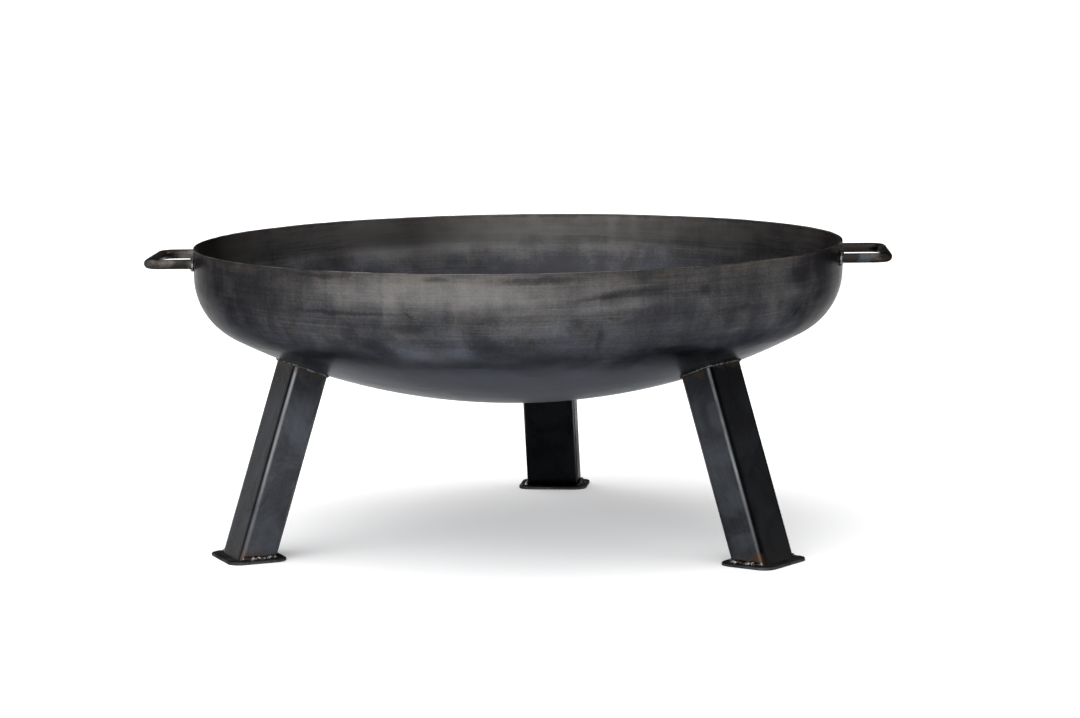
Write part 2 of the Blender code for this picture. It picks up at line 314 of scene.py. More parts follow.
def along_leg_to_crown(x, y, clearance):
    """How far up the leg from (x, y) in its own frame to clearance below the bowl's crown."""
    start = LEG_AXIS_FRAME @ Vector((x, y, 0.0)) - Vector((0.0, 0.0, CROWN_CENTRE_Z))
    direction = LEG_AXIS_FRAME.to_3x3() @ Vector((0.0, 0.0, 1.0))
    along = start.dot(direction)
    reach = CROWN_RADIUS + clearance
    return -along - math.sqrt(along**2 - start.length_squared + reach**2)


# ---------------------------------------------------------------- shader nodes

# The range that most of a noise's values lie in
NOISE_LOW = 0.3
NOISE_HIGH = 0.7
# How strongly the metal still reflects where it is seen edge on
EDGE_TINT = 0.42


class Nodes:
    """Short calls for the nodes of one node tree."""

    def __init__(self, tree):
        self.tree = tree

    def put(self, value, socket):
        if hasattr(value, "is_output"):
            self.tree.links.new(value, socket)
        else:
            socket.default_value = value

    def math(self, operation, a, b=0.0, clamp=False):
        node = self.tree.nodes.new("ShaderNodeMath")
        node.operation = operation
        node.use_clamp = clamp
        self.put(a, node.inputs[0])
        self.put(b, node.inputs[1])
        return node.outputs[0]

    def vector(self, operation, a, b=(0.0, 0.0, 0.0)):
        node = self.tree.nodes.new("ShaderNodeVectorMath")
        node.operation = operation
        self.put(a, node.inputs[0])
        self.put(b, node.inputs[1])
        return node.outputs["Value" if operation in ("LENGTH", "DISTANCE", "DOT_PRODUCT") else "Vector"]

    def inside_oval(self, vector, middle, half_sizes, tilt, value):
        """value inside a flat oval, falling softly to 0 at its edge."""
        node = self.tree.nodes.new("ShaderNodeMapping")
        node.vector_type = "TEXTURE"
        self.put(vector, node.inputs["Vector"])
        node.inputs["Location"].default_value = (*middle, 0.0)
        node.inputs["Rotation"].default_value = (0.0, 0.0, math.radians(tilt))
        node.inputs["Scale"].default_value = (*half_sizes, 1.0)
        return self.span(self.vector("LENGTH", node.outputs[0]), 0.15, 1.0, value, 0.0)

    def split(self, vector):
        node = self.tree.nodes.new("ShaderNodeSeparateXYZ")
        self.put(vector, node.inputs[0])
        return node.outputs

    def combine(self, x, y, z):
        node = self.tree.nodes.new("ShaderNodeCombineXYZ")
        for value, socket in zip((x, y, z), node.inputs):
            self.put(value, socket)
        return node.outputs[0]

    def noise(self, vector, scale, detail=4.0, roughness=0.55, distortion=0.0):
        """Noise from about 0.3 to 0.7, at scale features to the metre, which may be (x, y, z)."""
        if isinstance(scale, tuple):
            vector = self.vector("MULTIPLY", vector, scale)
            scale = 1.0
        node = self.tree.nodes.new("ShaderNodeTexNoise")
        self.put(vector, node.inputs["Vector"])
        node.inputs["Scale"].default_value = scale
        node.inputs["Detail"].default_value = detail
        node.inputs["Roughness"].default_value = roughness
        node.inputs["Distortion"].default_value = distortion
        return node.outputs["Fac"]

    def noise_colour(self, vector, scale):
        """Three separate noises as one vector."""
        node = self.noise(vector, scale, 3.0, 0.6).node
        return node.outputs["Color"]

    def span(self, value, low, high, to_low=0.0, to_high=1.0, smooth=True):
        node = self.tree.nodes.new("ShaderNodeMapRange")
        node.interpolation_type = "SMOOTHSTEP" if smooth else "LINEAR"
        for setting, socket in zip((value, low, high, to_low, to_high), node.inputs):
            self.put(setting, socket)
        return node.outputs[0]

    def mix(self, share, a, b):
        node = self.tree.nodes.new("ShaderNodeMix")
        node.data_type = "RGBA"
        self.put(share, node.inputs["Factor"])
        for colour, socket in ((a, node.inputs[6]), (b, node.inputs[7])):
            self.put(colour if hasattr(colour, "is_output") else (*colour, 1.0), socket)
        return node.outputs[2]

    def brighten(self, colour, factor):
        """A colour times a factor."""
        node = self.tree.nodes.new("ShaderNodeVectorMath")
        node.operation = "SCALE"
        self.put(colour, node.inputs[0])
        self.put(factor, node.inputs["Scale"])
        return node.outputs[0]

    def vary(self, texture, low, high, smooth=True):
        """A noise spread from low to high."""
        return self.span(texture, NOISE_LOW, NOISE_HIGH, low, high, smooth)

    def bump(self, height, distance, below=None):
        node = self.tree.nodes.new("ShaderNodeBump")
        node.inputs["Strength"].default_value = 1.0
        node.inputs["Distance"].default_value = distance
        self.put(height, node.inputs["Height"])
        if below is not None:
            self.put(below, node.inputs["Normal"])
        return node.outputs[0]


class Graph(Nodes):
    """One Principled material and the nodes that feed it."""

    def __init__(self, name, metallic=1.0, edge=EDGE_TINT):
        self.material = bpy.data.materials.new(name)
        self.material.use_nodes = True
        super().__init__(self.material.node_tree)
        self.shader = self.tree.nodes["Principled BSDF"]
        self.shader.inputs["Metallic"].default_value = metallic
        self.shader.inputs["Specular Tint"].default_value = (edge, edge, edge, 1.0)
        self.place = self.tree.nodes.new("ShaderNodeTexCoord").outputs["Object"]

    def finish(self, colour, roughness, normal=None):
        self.put(colour, self.shader.inputs["Base Color"])
        self.put(roughness, self.shader.inputs["Roughness"])
        if normal is not None:
            self.put(normal, self.shader.inputs["Normal"])
        return self.material


# ---------------------------------------------------------------- materials

def heat_by_legs(graph, radius):
    """1 at the welds of the legs on the bowl, falling to 0 at radius from them."""
    nearest = None
    for side in SIDES:
        distance = graph.vector("DISTANCE", graph.place, tuple(box_middle("leg_weld_" + side)))
        nearest = distance if nearest is None else graph.math("MINIMUM", nearest, distance)
    return graph.span(nearest, HEAT_CORE, radius, 1.0, 0.0)


# Marks on the bowl, real ones and painted light and shade: degrees from the middle (positive towards +X),
# height, half length along the rim, half height, tilt in degrees, and how much lighter (or darker, below 0)
# the steel is there
OUTSIDE_MARKS_AND_PAINTED_LIGHT = (
    # painted light and shade: the lighter field and patches where the light falls, and the streak that the
    # field ends in
    (-12.0, 0.302, 0.160, 0.034, 0.0, 0.42),
    (-22.0, 0.300, 0.070, 0.030, 0.0, 0.12),
    (6.0, 0.292, 0.140, 0.040, 0.0, 0.20),
    (22.0, 0.287, 0.060, 0.008, 6.0, 0.14),
    (17.0, 0.308, 0.070, 0.016, 0.0, 0.14),
    (-18.0, 0.266, 0.110, 0.024, 0.0, 0.08),
    (-16.0, 0.236, 0.100, 0.016, 0.0, 0.26),
    (-66.0, 0.266, 0.060, 0.026, 0.0, 0.16),
    (-70.0, 0.306, 0.060, 0.026, 0.0, -0.10),
    # stains below the rim
    (-11.0, 0.3145, 0.022, 0.004, 0.0, -0.30),
    (5.0, 0.3125, 0.070, 0.006, 0.0, -0.24),
    (-31.0, 0.3155, 0.060, 0.004, 0.0, -0.22),
    # long drag marks
    (20.0, 0.2975, 0.064, 0.0066, 5.0, -0.26),
    (15.0, 0.2945, 0.034, 0.0032, 4.0, -0.16),
    (-27.0, 0.2795, 0.095, 0.0034, 0.0, -0.20),
    # smudges
    (-16.0, 0.264, 0.028, 0.0080, 0.0, -0.22),
    (-27.0, 0.258, 0.018, 0.0180, 30.0, -0.16),
    (-22.0, 0.241, 0.030, 0.0130, -25.0, -0.22),
    (-9.0, 0.280, 0.012, 0.0180, 0.0, -0.16),
    (-3.0, 0.244, 0.030, 0.0150, -18.0, -0.22),
    (12.0, 0.268, 0.016, 0.0130, 20.0, -0.16),
    (34.0, 0.295, 0.014, 0.0100, 0.0, -0.18),
    (58.0, 0.300, 0.028, 0.0150, 0.0, -0.20),
    # short strokes and a scratch
    (67.0, 0.276, 0.022, 0.0060, 8.0, -0.16),
    (58.0, 0.262, 0.016, 0.0040, 45.0, -0.16),
    (43.0, 0.276, 0.016, 0.0034, 5.0, -0.16),
    (18.0, 0.273, 0.014, 0.0026, 0.0, -0.18),
    (16.0, 0.251, 0.006, 0.0240, 8.0, -0.14),
    (-15.5, 0.279, 0.013, 0.0012, -33.0, -0.30),
    # painted shade: darker ends below the handles
    (70.0, 0.304, 0.120, 0.040, 0.0, -0.34),
    (-43.0, 0.292, 0.070, 0.060, 0.0, -0.16),
    (64.0, 0.262, 0.090, 0.030, 0.0, -0.16),
    (-56.0, 0.290, 0.120, 0.060, 0.0, -0.14),
    (42.0, 0.288, 0.090, 0.060, 0.0, -0.16),
    # fields on the sides and the back
    (78.0, 0.296, 0.110, 0.026, 0.0, 0.10),
    (126.0, 0.288, 0.140, 0.034, 0.0, 0.26),
    (-96.0, 0.290, 0.130, 0.034, 0.0, 0.22),
    (-152.0, 0.296, 0.110, 0.030, 0.0, 0.24),
    (168.0, 0.268, 0.080, 0.030, 0.0, 0.20),
)
INSIDE_MARKS_AND_PAINTED_LIGHT = (
    # painted light: lighter fields where the light falls, from the middle to the sides
    (15.0, 0.290, 0.075, 0.040, 0.0, 0.16),
    (-8.0, 0.292, 0.130, 0.050, 0.0, 0.14),
    (-26.0, 0.300, 0.130, 0.060, 0.0, 0.72),
    (-50.0, 0.300, 0.080, 0.050, 0.0, 0.20),
    (-70.0, 0.300, 0.100, 0.050, 0.0, 0.34),
    (50.0, 0.300, 0.080, 0.050, 0.0, -0.02),
    (70.0, 0.300, 0.090, 0.050, 0.0, 0.14),
    # upright light streaks and two fine level scratches
    (16.0, 0.306, 0.010, 0.026, 0.0, 0.34),
    (21.0, 0.303, 0.009, 0.024, 6.0, 0.26),
    (8.0, 0.2965, 0.060, 0.0014, 1.0, 0.22),
    (-13.0, 0.2985, 0.050, 0.0012, 0.0, 0.20),
    # dark line below the rim, and painted shade on the knuckle
    (0.0, 0.3200, 0.900, 0.0045, 0.0, -0.30),
    (0.0, 0.2800, 1.000, 0.0190, 0.0, -0.24),
    # small light smears
    (9.0, 0.3030, 0.045, 0.0080, -8.0, 0.16),
    (-6.0, 0.2990, 0.050, 0.0070, 4.0, 0.12),
    (28.0, 0.3000, 0.016, 0.0140, 0.0, 0.14),
)
# How far the marks' outlines wander along the rim and in height
MARK_WOBBLE = (0.020, 0.009, 0.0)
# Heights below which an amount holds, where it ends, and the amount
# On the outside, a painted reflection of the floor: lighter towards the bottom
OUTSIDE_PAINTED_REFLECTION_FADES = ((0.200, 0.232, 0.84),)
# On the inside, painted shade: darker deeper in the bowl, then lighter again near the bottom
INSIDE_PAINTED_SHADE_FADES = ((0.256, 0.300, -0.80), (0.205, 0.242, 0.62))
# Base tone of each side; the inside is set much lighter than the outside, as painted light.
OUTSIDE_LEVEL = 0.05
INSIDE_LEVEL = 0.60
OUTSIDE_HEAT = 0.9
INSIDE_HEAT = 0.45
HEAT_CORE = 0.030
HEAT_REACH = 0.052
WARM_HEIGHTS = (0.215, 0.300)
STAIN_HEIGHTS = (0.300, 0.319)

# Colours
BLUE_DARK = (0.0215, 0.0230, 0.0275)
BLUE_LIGHT = (0.132, 0.141, 0.166)
WARM_DARK = (0.0205, 0.0202, 0.0222)
WARM_LIGHT = (0.168, 0.161, 0.1565)
HEAT_BROWN = (0.030, 0.020, 0.013)
RIM_BROWN_DARK = (0.022, 0.017, 0.014)
RIM_BROWN_LIGHT = (0.150, 0.128, 0.108)
# The cut edge's front: lighter with wear and painted highlight, and bright file marks with painted glints
RIM_RUBBED_AND_HIGHLIGHT = (0.14, 0.13, 0.12)
RIM_FILE_MARKS_AND_GLINTS = (0.62, 0.60, 0.57)
LEG_DARK = (0.028, 0.029, 0.033)
LEG_LIGHT = (0.058, 0.063, 0.073)
# Painted highlight along the tubes' corners, partly wear
LEG_WORN_HIGHLIGHT = (0.150, 0.152, 0.155)
LEG_RUST = (0.058, 0.033, 0.018)
PLATE_DARK = (0.028, 0.029, 0.034)
PLATE_LIGHT = (0.070, 0.070, 0.076)
PLATE_FLECK = (0.12, 0.11, 0.10)
WELD_SCALE = (0.040, 0.037, 0.035)
WELD_BRIGHT = (0.50, 0.49, 0.47)
WELD_DULL = (0.095, 0.098, 0.105)
WELD_HANDLE = (0.26, 0.26, 0.27)
GRATE_DARK = (0.026, 0.024, 0.023)
GRATE_LIGHT = (0.085, 0.080, 0.077)
HANDLE_BROWN = (0.019, 0.0165, 0.0150)
HANDLE_WARM = (0.088, 0.079, 0.070)
HANDLE_BLUE = (0.044, 0.050, 0.060)
FLOOR_DARK = (0.84, 0.84, 0.84)
FLOOR_LIGHT = (0.86, 0.86, 0.86)

# Noises: features to the metre, detail, roughness and distortion
BOWL_CLOUD = (6.0, 3.0, 0.5, 0.8)
BOWL_MOTTLE = (34.0, 3.0, 0.5, 0.3)
BOWL_SMUDGE = (17.0, 4.0, 0.55, 1.2)
BOWL_GRAIN = (420.0, 3.0, 0.7)
BOWL_BRUSH = ((14.0, 14.0, 1100.0), 3.0, 0.65)
BOWL_BANDS = ((5.0, 5.0, 110.0), 4.0, 0.6)
BOWL_DASHES = ((38.0, 38.0, 420.0), 2.0, 0.5)
BOWL_SCRATCHES = ((9.0, 9.0, 620.0), 2.0, 0.5)
BOWL_DRIPS = ((210.0, 210.0, 10.0), 3.0, 0.6)
BOWL_DENTS = (30.0, 1.0, 0.5)
BOWL_SWELLS = (6.0, 1.0, 0.5)
WOBBLE_SCALE = 55.0
RIM_NICKS = (240.0, 3.0, 0.6)
RIM_WEAR = (16.0, 3.0, 0.6)
LEG_DRAWN = ((380.0, 380.0, 6.0), 3.0, 0.55)
LEG_CLOUD = (22.0, 5.0, 0.6, 0.6)
LEG_GRAIN = (420.0, 4.0, 0.65)
LEG_RAGGED = (70.0, 4.0, 0.6)
LEG_RUBS = ((90.0, 90.0, 16.0),)
PLATE_CLOUD = (60.0, 4.0, 0.6, 0.3)
PLATE_GRAIN = (420.0, 3.0, 0.6)
WELD_CLOUD = (150.0, 3.0, 0.6, 0.3)
WELD_GRAIN = (900.0, 3.0, 0.6)
GRATE_CLOUD = (45.0, 4.0, 0.6, 0.4)
BAR_GRAIN = (500.0, 3.0, 0.65)
HANDLE_RUBS = (26.0, 2.0)
HANDLE_BLUED = (30.0, 2.0)
FLOOR_SPECKS = (30.0, 2.0)

# What differs from leg to leg: the noises' offset, how light the outer face and the narrow faces are
# (1 is the plain scale) as painted light and shade, and how strongly the faces reflect edge on
LEG_SEEDS = {"left": 0.0, "right": 3.7, "back": 8.1}
LEG_OUTER_PAINTED_LEVELS = {"left": 0.62, "right": 0.34, "back": 2.4}
LEG_SIDE_PAINTED_LEVELS = {"left": 1.06, "right": 0.68, "back": 0.28}
LEG_EDGE_TINTS = {"left": 0.6, "right": 0.6, "back": 0.25}
# Painted shade: the inner face, under the bowl, darker
LEG_INNER_PAINTED_SHADE = 0.55
# Painted shade of the bowl: the leg darkens between these distances below the bowl, to this share
LEG_PAINTED_SHADE_DROPS = (0.060, 0.012)
LEG_PAINTED_SHADE = 0.45
# The painted dark reflection beside a tube's corners and the painted highlight on them, partly wear, as
# shares of the corner's radius from its faces
DARK_REFLECTION_START = (1.40, 0.90)
DARK_REFLECTION_END = (0.55, 0.35)
WORN_HIGHLIGHT_START = (0.42, 0.16)
WORN_HIGHLIGHT_FACES = (0.90, 0.50)
NARROW_FACES = (1.0, 0.0)


def bowl_material(name, facing, marks, level, fades, heat):
    """Dark oiled steel: soft fields of painted light and shade, smudges, drag marks and fine level brush
    lines.

    facing is the side that the marks are measured from: -1 is the front and 1 is the back.
    Each of fades is a height below which its amount holds, the height where it ends, and the amount.
    heat is the strength of the brown heat tint where the legs are welded on.
    """
    graph = Graph(name)
    x, y, z = graph.split(graph.place)
    angle = graph.math("ARCTAN2", x, graph.math("MULTIPLY", y, float(facing)))
    along = graph.math("MULTIPLY", angle, BOWL_RADIUS)
    radius = graph.vector("LENGTH", graph.combine(x, y, 0.0))
    slope = graph.math("SUBTRACT", z, graph.math("MULTIPLY", radius, 0.8))
    wrapped = graph.combine(x, y, slope)

    cloud = graph.noise(graph.place, *BOWL_CLOUD)
    mottle = graph.noise(graph.place, *BOWL_MOTTLE)
    smudge = graph.noise(graph.place, *BOWL_SMUDGE)
    grain = graph.noise(graph.place, *BOWL_GRAIN)
    brush = graph.noise(wrapped, *BOWL_BRUSH)
    bands = graph.noise(wrapped, *BOWL_BANDS)
    dashes = graph.noise(wrapped, *BOWL_DASHES)
    scratches = graph.noise(wrapped, *BOWL_SCRATCHES)
    drips = graph.noise(graph.place, *BOWL_DRIPS)

    shade = graph.span(cloud, 0.32, 0.68, level - 0.06, level + 0.06)
    wobble = graph.vector("SUBTRACT", graph.noise_colour(graph.place, WOBBLE_SCALE), (0.5, 0.5, 0.5))
    wobble = graph.vector("MULTIPLY", wobble, MARK_WOBBLE)
    flat = graph.vector("ADD", graph.combine(along, z, 0.0), wobble)
    # the marks hold real stains, smudges and strokes, and also painted light and shade
    for middle, height, half_length, half_height, tilt, value in marks:
        spot = (math.radians(middle) * BOWL_RADIUS, height)
        mark = graph.inside_oval(flat, spot, (half_length, half_height), tilt, value)
        shade = graph.math("ADD", shade, mark)
    for texture, amount in ((mottle, 0.12), (bands, 0.07), (brush, 0.07), (drips, 0.04), (grain, 0.08)):
        shade = graph.math("ADD", shade, graph.vary(texture, -amount, amount, False))
    shade = graph.math("SUBTRACT", shade, graph.span(smudge, 0.54, 0.74, 0.0, 0.11))
    shade = graph.math("SUBTRACT", shade, graph.span(dashes, 0.66, 0.82, 0.0, 0.03))
    shade = graph.math("ADD", shade, graph.span(scratches, 0.60, 0.74, 0.0, 0.10))
    for low, high, amount in fades:
        shade = graph.math("ADD", shade, graph.span(z, low, high, amount, 0.0))
    shade = graph.span(shade, -0.30, 1.05)

    uneven = graph.math("ADD", z, graph.vary(smudge, -0.02, 0.02))
    warmth = graph.span(uneven, *WARM_HEIGHTS)
    dark = graph.mix(warmth, BLUE_DARK, WARM_DARK)
    light = graph.mix(warmth, BLUE_LIGHT, WARM_LIGHT)
    colour = graph.mix(shade, dark, light)
    patches = graph.span(mottle, 0.35, 0.60, heat / 3, heat)
    tint = graph.math("MULTIPLY", heat_by_legs(graph, HEAT_REACH), patches)
    colour = graph.mix(tint, colour, HEAT_BROWN)
    blotches = graph.span(mottle, 0.40, 0.62, 0.05, 0.42)
    stain = graph.math("MULTIPLY", graph.span(z, *STAIN_HEIGHTS), blotches)
    colour = graph.mix(stain, colour, graph.mix(shade, RIM_BROWN_DARK, RIM_BROWN_LIGHT))
    rough = graph.math("ADD", graph.vary(cloud, 0.29, 0.35), graph.vary(brush, -0.03, 0.03))
    normal = graph.bump(brush, 0.00003)
    normal = graph.bump(graph.noise(graph.place, *BOWL_DENTS), 0.0004, normal)
    normal = graph.bump(graph.noise(graph.place, *BOWL_SWELLS), 0.003, normal)
    return graph.finish(colour, rough, normal)


def rim_material():
    """The cut edge of the sheet: brown at the back, lighter at the front with wear and painted highlight,
    and bright file marks that are partly painted glints.
    """
    graph = Graph("bowl_cut_edge")
    nicks = graph.noise(graph.place, *RIM_NICKS)
    wear = graph.noise(graph.place, *RIM_WEAR)
    # bright file marks, partly painted glints
    bright = graph.math("MULTIPLY", graph.span(nicks, 0.50, 0.68), graph.span(wear, 0.54, 0.64))
    y = graph.split(graph.place)[1]
    # painted highlight with wear: the front of the cut edge lighter than the back
    front = graph.span(y, -0.25, 0.05, 1.0, 0.05)
    rubbed_and_lit = graph.math("MULTIPLY", front, graph.span(wear, 0.35, 0.60, 0.40, 1.0))
    colour = graph.mix(rubbed_and_lit, RIM_BROWN_DARK, RIM_RUBBED_AND_HIGHLIGHT)
    colour = graph.mix(graph.math("MULTIPLY", bright, rubbed_and_lit), colour, RIM_FILE_MARKS_AND_GLINTS)
    return graph.finish(colour, graph.vary(nicks, 0.3, 0.5), graph.bump(nicks, 0.0002))


def near_edge(graph, value, half_size, shares, to_low=0.0, to_high=1.0):
    """to_low to to_high as value nears half_size, between two shares of the corner's radius short of it."""
    low, high = (half_size - LEG_CORNER * share for share in shares)
    return graph.span(value, low, high, to_low, to_high)


def leg_material(side):
    """Dark blue-grey mill scale drawn along the tube, with browned ends, painted light and shade on its
    faces, and a painted dark reflection and a painted highlight, partly wear, on its corners.
    """
    graph = Graph("leg_scale_" + side, edge=LEG_EDGE_TINTS[side])
    matrix = leg_matrix(azimuth_of(side))
    offset = graph.vector("SUBTRACT", graph.place, tuple(matrix.translation))
    axes = [tuple(axis[:3]) for axis in matrix.col[:3]]
    depth, width, height = (graph.vector("DOT_PRODUCT", offset, axis) for axis in axes)
    place = graph.vector("ADD", graph.combine(depth, width, height), (LEG_SEEDS[side], 0.0, 0.0))
    across = graph.math("ABSOLUTE", width)
    through = graph.math("ABSOLUTE", depth)
    half_depth = LEG_DEPTH / 2
    half_width = LEG_WIDTH / 2
    corner = half_depth - LEG_CORNER

    drawn = graph.noise(place, *LEG_DRAWN)
    cloud = graph.noise(place, *LEG_CLOUD)
    grain = graph.noise(place, *LEG_GRAIN)
    ragged = graph.vary(graph.noise(place, *LEG_RAGGED), -0.005, 0.005)
    shade = graph.span(cloud, 0.34, 0.66, 0.05, 0.90)
    for texture, amount in ((drawn, 0.10), (grain, 0.08)):
        shade = graph.math("ADD", shade, graph.vary(texture, -amount, amount, False), clamp=True)
    colour = graph.mix(shade, LEG_DARK, LEG_LIGHT)
    # painted light and shade: each face of each leg lighter or darker
    outer = graph.span(depth, corner, half_depth, 1.0, LEG_OUTER_PAINTED_LEVELS[side])
    inner = graph.span(depth, -half_depth, -corner, LEG_INNER_PAINTED_SHADE, 1.0)
    # painted shade of the bowl on the top of the leg
    low, high = (along_leg_to_crown(0.0, 0.0, 0.0) - drop for drop in LEG_PAINTED_SHADE_DROPS)
    level = LEG_SIDE_PAINTED_LEVELS[side]
    shaded = graph.span(height, low, high, level, LEG_PAINTED_SHADE * level)
    colour = graph.brighten(colour, graph.math("MULTIPLY", shaded, graph.math("MULTIPLY", outer, inner)))

    # painted reflection: a dark stripe beside the corner, on the outer side
    dark_start = near_edge(graph, across, half_width, DARK_REFLECTION_START)
    dark_end = near_edge(graph, across, half_width, DARK_REFLECTION_END, 1.0, 0.0)
    dark = graph.math("MULTIPLY", dark_start, dark_end)
    dark = graph.math("MULTIPLY", dark, graph.span(depth, 0.0, corner))
    colour = graph.brighten(colour, graph.math("SUBTRACT", 1.0, graph.math("MULTIPLY", dark, 0.6)))
    # painted highlight along the corner, partly wear, fading towards the foot
    worn_and_highlight = near_edge(graph, across, half_width, WORN_HIGHLIGHT_START)
    worn_and_highlight = graph.math("MULTIPLY", worn_and_highlight, near_edge(graph, through, half_depth, WORN_HIGHLIGHT_FACES))
    worn_and_highlight = graph.math("MULTIPLY", worn_and_highlight, graph.span(height, 0.02, 0.12, 0.30, 1.0))
    rubs = graph.span(graph.noise(place, *LEG_RUBS), 0.34, 0.60, 0.15, 0.8)
    colour = graph.mix(graph.math("MULTIPLY", worn_and_highlight, rubs), colour, LEG_WORN_HIGHLIGHT)

    crown_middle = (0.0, 0.0, CROWN_CENTRE_Z)
    crown = graph.math("SUBTRACT", graph.vector("DISTANCE", graph.place, crown_middle), CROWN_RADIUS)
    below_bowl = graph.math("ADD", crown, ragged)
    colour = graph.mix(graph.span(below_bowl, 0.001, 0.009, 0.6, 0.0), colour, HEAT_BROWN)
    above_foot = graph.span(graph.math("ADD", height, ragged), 0.005, 0.014, 0.6, 0.0)
    narrow = near_edge(graph, across, half_width, NARROW_FACES, 0.15, 1.0)
    colour = graph.mix(graph.math("MULTIPLY", above_foot, narrow), colour, LEG_RUST)
    normal = graph.bump(cloud, 0.0009, graph.bump(drawn, 0.00008))
    return graph.finish(colour, graph.vary(cloud, 0.24, 0.36), normal)


def foot_material():
    """Dark cloudy plate with fine lighter flecks."""
    graph = Graph("foot_plate_steel")
    cloud = graph.noise(graph.place, *PLATE_CLOUD)
    grain = graph.noise(graph.place, *PLATE_GRAIN)
    colour = graph.mix(graph.span(cloud, 0.35, 0.65), PLATE_DARK, PLATE_LIGHT)
    colour = graph.mix(graph.span(grain, 0.55, 0.75, 0.0, 0.5), colour, PLATE_FLECK)
    return graph.finish(colour, graph.vary(grain, 0.38, 0.6), graph.bump(grain, 0.0002))


def weld_material(name, clean):
    """Rough weld metal: the colour clean in patches, and dark where it has scaled."""
    graph = Graph(name)
    cloud = graph.noise(graph.place, *WELD_CLOUD)
    grain = graph.noise(graph.place, *WELD_GRAIN)
    colour = graph.mix(graph.span(cloud, 0.46, 0.60), WELD_SCALE, clean)
    return graph.finish(colour, graph.vary(grain, 0.22, 0.42), graph.bump(grain, 0.0002))


def grate_material():
    """Rolled round bar with patchy scale."""
    graph = Graph("grate_bar_steel")
    cloud = graph.noise(graph.place, *GRATE_CLOUD)
    grain = graph.noise(graph.place, *BAR_GRAIN)
    shade = graph.math("ADD", graph.span(cloud, 0.35, 0.65), graph.vary(grain, -0.2, 0.2), clamp=True)
    colour = graph.mix(shade, GRATE_DARK, GRATE_LIGHT)
    return graph.finish(colour, graph.vary(grain, 0.4, 0.6), graph.bump(grain, 0.0002))


def handle_material():
    """Drawn bar scaled dark brown, with warm-grey patches of wear and blue ones, and painted light: lighter
    at -X, darker at +X.
    """
    graph = Graph("handle_bar_steel")
    rubbed_and_lit = graph.noise(graph.place, *HANDLE_RUBS)
    blued = graph.noise(graph.vector("ADD", graph.place, (0.37, 0.0, 0.0)), *HANDLE_BLUED)
    grain = graph.noise(graph.place, *BAR_GRAIN)
    rubbed_and_lit = graph.math("ADD", rubbed_and_lit, graph.vary(grain, -0.03, 0.03))
    x = graph.split(graph.place)[0]
    # painted light and shade: the handle at -X lighter, the one at +X darker
    rubbed_and_lit = graph.math("ADD", rubbed_and_lit, graph.span(x, -0.36, 0.36, 0.05, -0.10))
    colour = graph.mix(graph.span(rubbed_and_lit, 0.42, 0.60), HANDLE_BROWN, HANDLE_WARM)
    colour = graph.mix(graph.span(blued, 0.54, 0.64, 0.0, 0.8), colour, HANDLE_BLUE)
    return graph.finish(colour, graph.vary(grain, 0.26, 0.46), graph.bump(grain, 0.0002))


# ---------------------------------------------------------------- bowl

def bowl_profile(offset):
    """Radius and height down the bowl's outside, moved outwards by offset, from the lip to the axis."""
    knuckle = KNUCKLE_RADIUS + offset
    crown = CROWN_RADIUS + offset
    points = [(BOWL_RADIUS + offset, RIM_HEIGHT - LIP)]
    for step in range(FLANGE_STEPS):
        height = RIM_HEIGHT - 2 * LIP - (FLANGE_HEIGHT - 2 * LIP) * step / FLANGE_STEPS
        points.append((BOWL_RADIUS + offset, height))
    for step in range(KNUCKLE_STEPS):
        angle = math.pi / 2 + (CROWN_ANGLE - math.pi / 2) * step / KNUCKLE_STEPS
        radius = KNUCKLE_CENTRE_RADIUS + knuckle * math.sin(angle)
        points.append((radius, KNUCKLE_CENTRE_Z - knuckle * math.cos(angle)))
    for step in range(CROWN_STEPS):
        angle = CROWN_ANGLE * (1 - step / CROWN_STEPS)
        points.append((crown * math.sin(angle), CROWN_CENTRE_Z - crown * math.cos(angle)))
    return points


